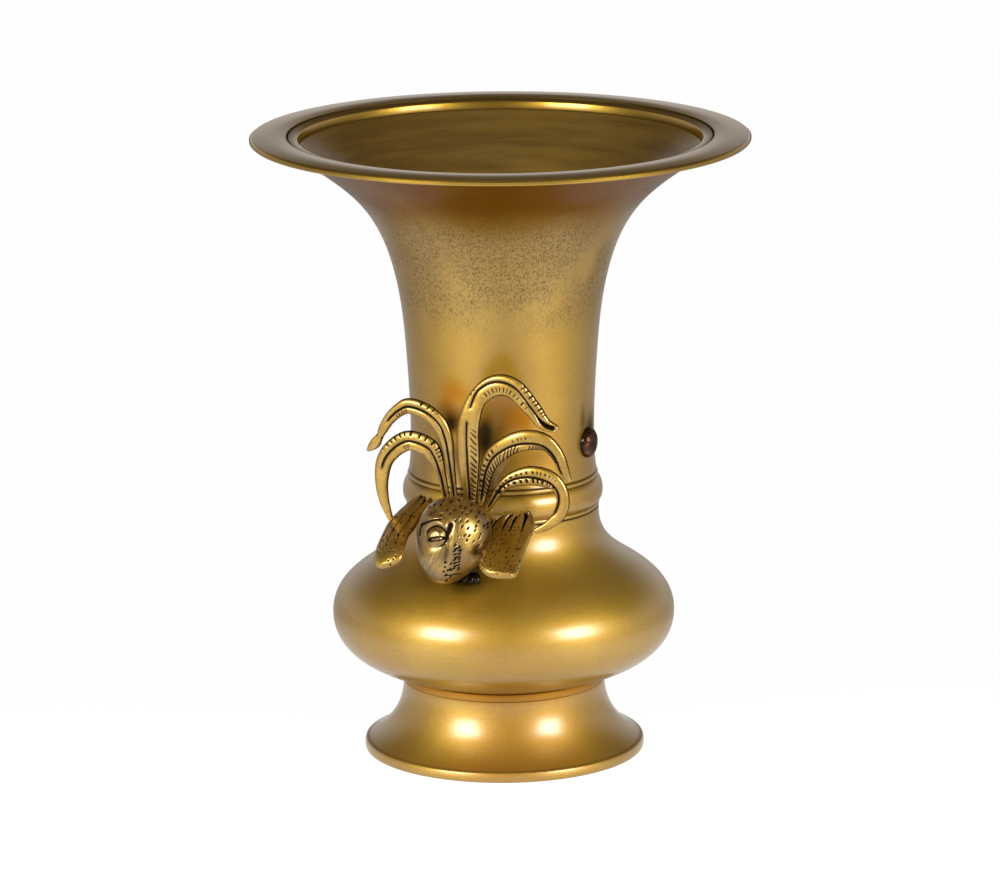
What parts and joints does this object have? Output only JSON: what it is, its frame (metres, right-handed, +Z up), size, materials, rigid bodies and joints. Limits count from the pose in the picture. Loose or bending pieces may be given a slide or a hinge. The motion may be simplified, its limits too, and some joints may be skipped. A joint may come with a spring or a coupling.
{
  "type": "vase",
  "caption": "Trumpet-necked metal vase on a flared foot, with a wide flat rim, a ringed collar and a cast bird with curled tail plumes on the neck.",
  "frame": {"origin": "on the table, under the middle of the foot", "axes": "+Z up along the axis of the turned pieces, -Y towards the bird, +X to the right of someone who faces the bird"},
  "size_m": [0.1976, 0.1976, 0.25],
  "materials": {
    "turned_brass": "satin turned brass with a worn golden lacquer",
    "cast_brass": "satin cast brass, dark in the grooves",
    "dark_brass": "dull dark brass",
    "copper": "tarnished copper"
  },
  "bodies": {
    "root": {"foot": "turned_brass", "belly": "turned_brass", "collar": "turned_brass", "neck": "turned_brass", "rim_flange": "turned_brass", "mouth_ring": "turned_brass", "bird_head": "cast_brass", "bird_body": "cast_brass", "left_wing": "cast_brass", "right_wing": "cast_brass", "plume_centre": "cast_brass", "plume_upper_left": "cast_brass", "plume_lower_left": "cast_brass", "plume_upper_right": "cast_brass", "plume_lower_right": "cast_brass", "base_disc": "dark_brass", "bird_stud": "dark_brass", "stud_rove": "dark_brass", "left_claw": "dark_brass", "right_claw": "dark_brass", "side_rivet": "copper", "rivet_rove": "copper"}
  },
  "joints": []
}
